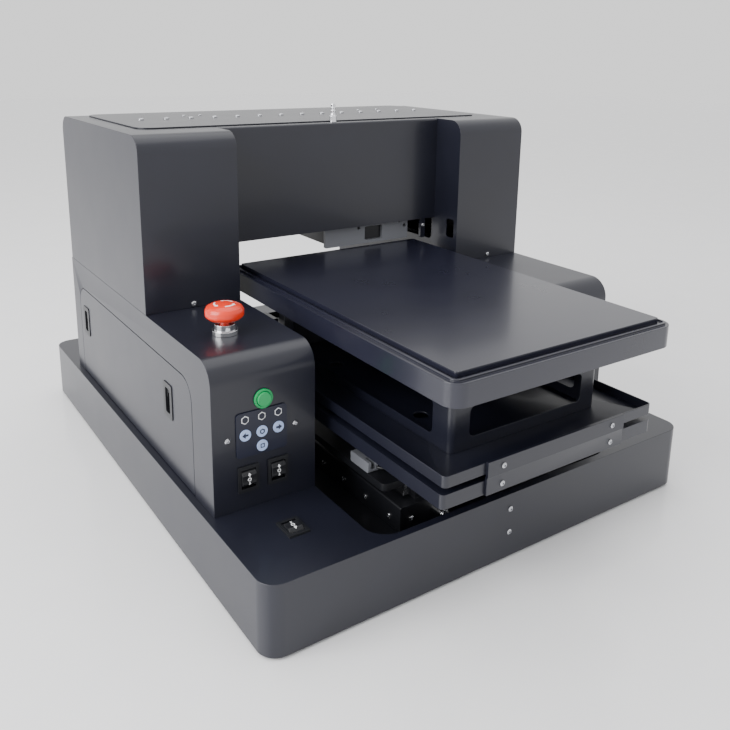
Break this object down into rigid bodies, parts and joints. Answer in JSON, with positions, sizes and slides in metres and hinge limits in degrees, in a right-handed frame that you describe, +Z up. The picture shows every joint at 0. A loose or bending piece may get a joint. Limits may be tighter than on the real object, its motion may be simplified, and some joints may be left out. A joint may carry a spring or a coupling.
{
  "type": "flatbed uv printer",
  "caption": "Desktop flatbed UV printer with twin cabinets, a bridge over a lifting table that slides front to back, and a keypad with rockers",
  "frame": {"origin": "On the floor, under the middle of the overall footprint", "axes": "+X to the printer's right seen from the front, +Y to the back along the table travel, +Z up"},
  "size_m": [0.578, 0.779, 0.46],
  "materials": {
    "charcoal_coat": "satin charcoal powder coat",
    "grey_coat": "satin grey powder coat",
    "table_coat": "hard satin black anodised plate",
    "black_steel": "semi-matt black coated steel",
    "bright_steel": "ground and polished steel",
    "chrome_trim": "bright chrome plate",
    "alloy": "clear anodised aluminium",
    "black_plastic": "moulded black plastic",
    "keypad_film": "glossy printed film",
    "key_blue": "pale blue moulded key",
    "button_green": "green moulded cap",
    "estop_red": "red-orange moulded cap",
    "rubber_black": "matt moulded rubber",
    "tank_plastic": "translucent natural plastic"
  },
  "bodies": {
    "base": {"access_panel": "charcoal_coat", "air_fitting": "chrome_trim", "base_floor": "black_steel", "base_shell": "charcoal_coat", "bridge_cover": "charcoal_coat", "capping_station": "black_plastic", "case_screws": "bright_steel", "control_electronics": "black_steel", "drive_connector": "chrome_trim", "drive_well": "black_steel", "estop_collar": "chrome_trim", "ink_tanks": "tank_plastic", "keypad_overlay": "keypad_film", "latch_frames": "black_plastic", "left_cabinet": "charcoal_coat", "left_upper_housing": "charcoal_coat", "power_inlet": "black_plastic", "right_cabinet": "charcoal_coat", "right_upper_housing": "charcoal_coat", "rocker_bezels": "black_plastic", "rubber_feet": "rubber_black", "start_button_bezel": "button_green", "top_cover": "charcoal_coat", "top_cover_screws": "bright_steel", "x_beam": "alloy", "x_belt": "rubber_black", "x_motor": "black_steel", "y_drive_frame": "black_steel", "y_motor": "black_steel"},
    "y_stage": {"stage_plate": "black_steel", "y_bearing_blocks": "bright_steel", "lift_motor": "black_steel", "limit_sensor": "grey_coat"},
    "lift_stack": {"lower_plate": "charcoal_coat", "upper_tray": "charcoal_coat", "front_bracket": "charcoal_coat", "bracket_screws": "bright_steel", "riser_box": "charcoal_coat", "table_frame": "table_coat", "table_plate": "table_coat"},
    "lift_screw_body": {"lift_screw": "bright_steel"},
    "y_screw_body": {"y_screw": "bright_steel"},
    "print_carriage": {"carriage_front_plate": "grey_coat", "carriage_body": "black_steel", "print_head": "black_plastic", "uv_lamp": "alloy", "x_bearing_blocks": "bright_steel"},
    "motor_pulley": {"x_motor_pulley": "alloy"},
    "idler_pulley": {"x_idler_pulley": "alloy"},
    "estop_button": {"estop_head": "estop_red"},
    "green_button": {"start_button": "button_green"},
    "key_left": {"left_key": "key_blue"},
    "key_home": {"home_key": "key_blue"},
    "key_right": {"right_key": "key_blue"},
    "key_stop": {"stop_key": "key_blue"},
    "rocker_lift": {"lift_rocker": "black_plastic"},
    "rocker_table": {"table_rocker": "black_plastic"},
    "rocker_deck": {"deck_rocker": "black_plastic"},
    "latch_rear": {"rear_latch": "black_plastic"},
    "latch_front": {"front_latch": "black_plastic"}
  },
  "joints": [
    {"name": "table_travel", "type": "slide", "parent": "base", "child": "y_stage", "axis": [0, 1, 0], "range_m": [0, 0.4]},
    {"name": "table_lift", "type": "slide", "parent": "y_stage", "child": "lift_stack", "axis": [0, 0, 1], "range_m": [-0.03, 0]},
    {"name": "travel_screw_turn", "type": "hinge", "parent": "base", "child": "y_screw_body", "pos_m": [0.034, 0, 0.061], "axis": [0, 1, 0], "range_deg": [0, 14400]},
    {"name": "lift_screw_turn", "type": "hinge", "parent": "y_stage", "child": "lift_screw_body", "pos_m": [0, -0.167, 0.12], "axis": [0, 0, 1], "range_deg": [-2700, 0]},
    {"name": "head_travel", "type": "slide", "parent": "base", "child": "print_carriage", "axis": [1, 0, 0], "range_m": [-0.147, 0.148]},
    {"name": "motor_pulley_turn", "type": "hinge", "parent": "base", "child": "motor_pulley", "pos_m": [-0.244, 0.2, 0.405], "axis": [0, 1, 0], "range_deg": [-963.61, 957.1]},
    {"name": "idler_pulley_turn", "type": "hinge", "parent": "base", "child": "idler_pulley", "pos_m": [0.255, 0.2, 0.405], "axis": [0, 1, 0], "range_deg": [-963.61, 957.1]},
    {"name": "estop_press", "type": "slide", "parent": "base", "child": "estop_button", "axis": [0, 0, 1], "range_m": [-0.004, 0]},
    {"name": "start_press", "type": "slide", "parent": "base", "child": "green_button", "axis": [0, 1, 0], "range_m": [0, 0.0025], "stiffness_N_per_m": 800},
    {"name": "rear_latch_slide", "type": "slide", "parent": "base", "child": "latch_rear", "axis": [0, 0, 1], "range_m": [-0.008, 0]},
    {"name": "front_latch_slide", "type": "slide", "parent": "base", "child": "latch_front", "axis": [0, 0, 1], "range_m": [-0.008, 0]},
    {"name": "left_key_press", "type": "slide", "parent": "base", "child": "key_left", "axis": [0, 1, 0], "range_m": [0, 0.0006], "stiffness_N_per_m": 2000},
    {"name": "home_key_press", "type": "slide", "parent": "base", "child": "key_home", "axis": [0, 1, 0], "range_m": [0, 0.0006], "stiffness_N_per_m": 2000},
    {"name": "right_key_press", "type": "slide", "parent": "base", "child": "key_right", "axis": [0, 1, 0], "range_m": [0, 0.0006], "stiffness_N_per_m": 2000},
    {"name": "stop_key_press", "type": "slide", "parent": "base", "child": "key_stop", "axis": [0, 1, 0], "range_m": [0, 0.0006], "stiffness_N_per_m": 2000},
    {"name": "lift_rocker_tilt", "type": "hinge", "parent": "base", "child": "rocker_lift", "pos_m": [-0.2438, -0.1903, 0.1114], "axis": [1, 0, 0], "range_deg": [-10, 10], "stiffness_Nm_per_rad": 0.2},
    {"name": "table_rocker_tilt", "type": "hinge", "parent": "base", "child": "rocker_table", "pos_m": [-0.2107, -0.1903, 0.1114], "axis": [1, 0, 0], "range_deg": [-10, 10], "stiffness_Nm_per_rad": 0.2},
    {"name": "deck_rocker_tilt", "type": "hinge", "parent": "base", "child": "rocker_deck", "pos_m": [-0.2239, -0.2505, 0.0735], "axis": [1, 0, 0], "range_deg": [-10, 10], "stiffness_Nm_per_rad": 0.2}
  ],
  "couplings": [
    {"joint": "travel_screw_turn", "follows": "table_travel", "rad_per_m": 628.32},
    {"joint": "lift_screw_turn", "follows": "table_lift", "rad_per_m": 1570.8},
    {"joint": "motor_pulley_turn", "follows": "head_travel", "rad_per_m": -113.64},
    {"joint": "idler_pulley_turn", "follows": "head_travel", "rad_per_m": -113.64}
  ]
}
